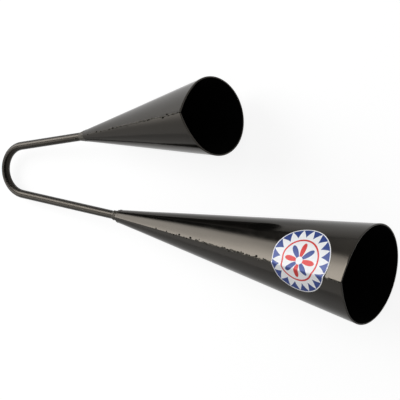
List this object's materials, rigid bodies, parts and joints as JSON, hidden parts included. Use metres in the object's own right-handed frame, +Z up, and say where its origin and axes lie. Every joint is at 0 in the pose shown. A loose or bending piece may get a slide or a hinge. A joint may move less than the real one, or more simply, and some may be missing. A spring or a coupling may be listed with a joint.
{
  "type": "agogo bell",
  "caption": "Agogo: a smaller and a larger cone bell of rolled sheet steel, welded to the arms of a springy U-shaped rod handle, struck with a stick or squeezed to click.",
  "frame": {"origin": "on the surface that the part lies on, under the middle of its box", "axes": "+X from the handle's bend towards the mouths, +Y towards the small bell, +Z up"},
  "size_m": [0.3582, 0.1848, 0.0809],
  "materials": {
    "black_paint": "satin black enamel on steel",
    "painted_weld": "ragged weld bead under the same satin black enamel",
    "label_vinyl": "printed vinyl label, glossy"
  },
  "bodies": {
    "large_side": {"handle_bend": "black_paint", "large_side_arm": "black_paint", "large_bell": "black_paint", "large_seam_weld": "painted_weld", "large_neck_weld": "painted_weld", "label": "label_vinyl"},
    "small_side": {"small_side_arm": "black_paint", "small_bell": "black_paint", "small_seam_weld": "painted_weld", "small_neck_weld": "painted_weld", "weld_spatter": "painted_weld"}
  },
  "joints": [
    {"name": "handle_squeeze", "type": "hinge", "parent": "large_side", "child": "small_side", "pos_m": [-0.15491, 0.0131, 0.00638], "axis": [0.1141, 0.0783, -0.9904], "range_deg": [0, 13.4], "stiffness_Nm_per_rad": 163, "deforming": ["handle_bend"]}
  ]
}
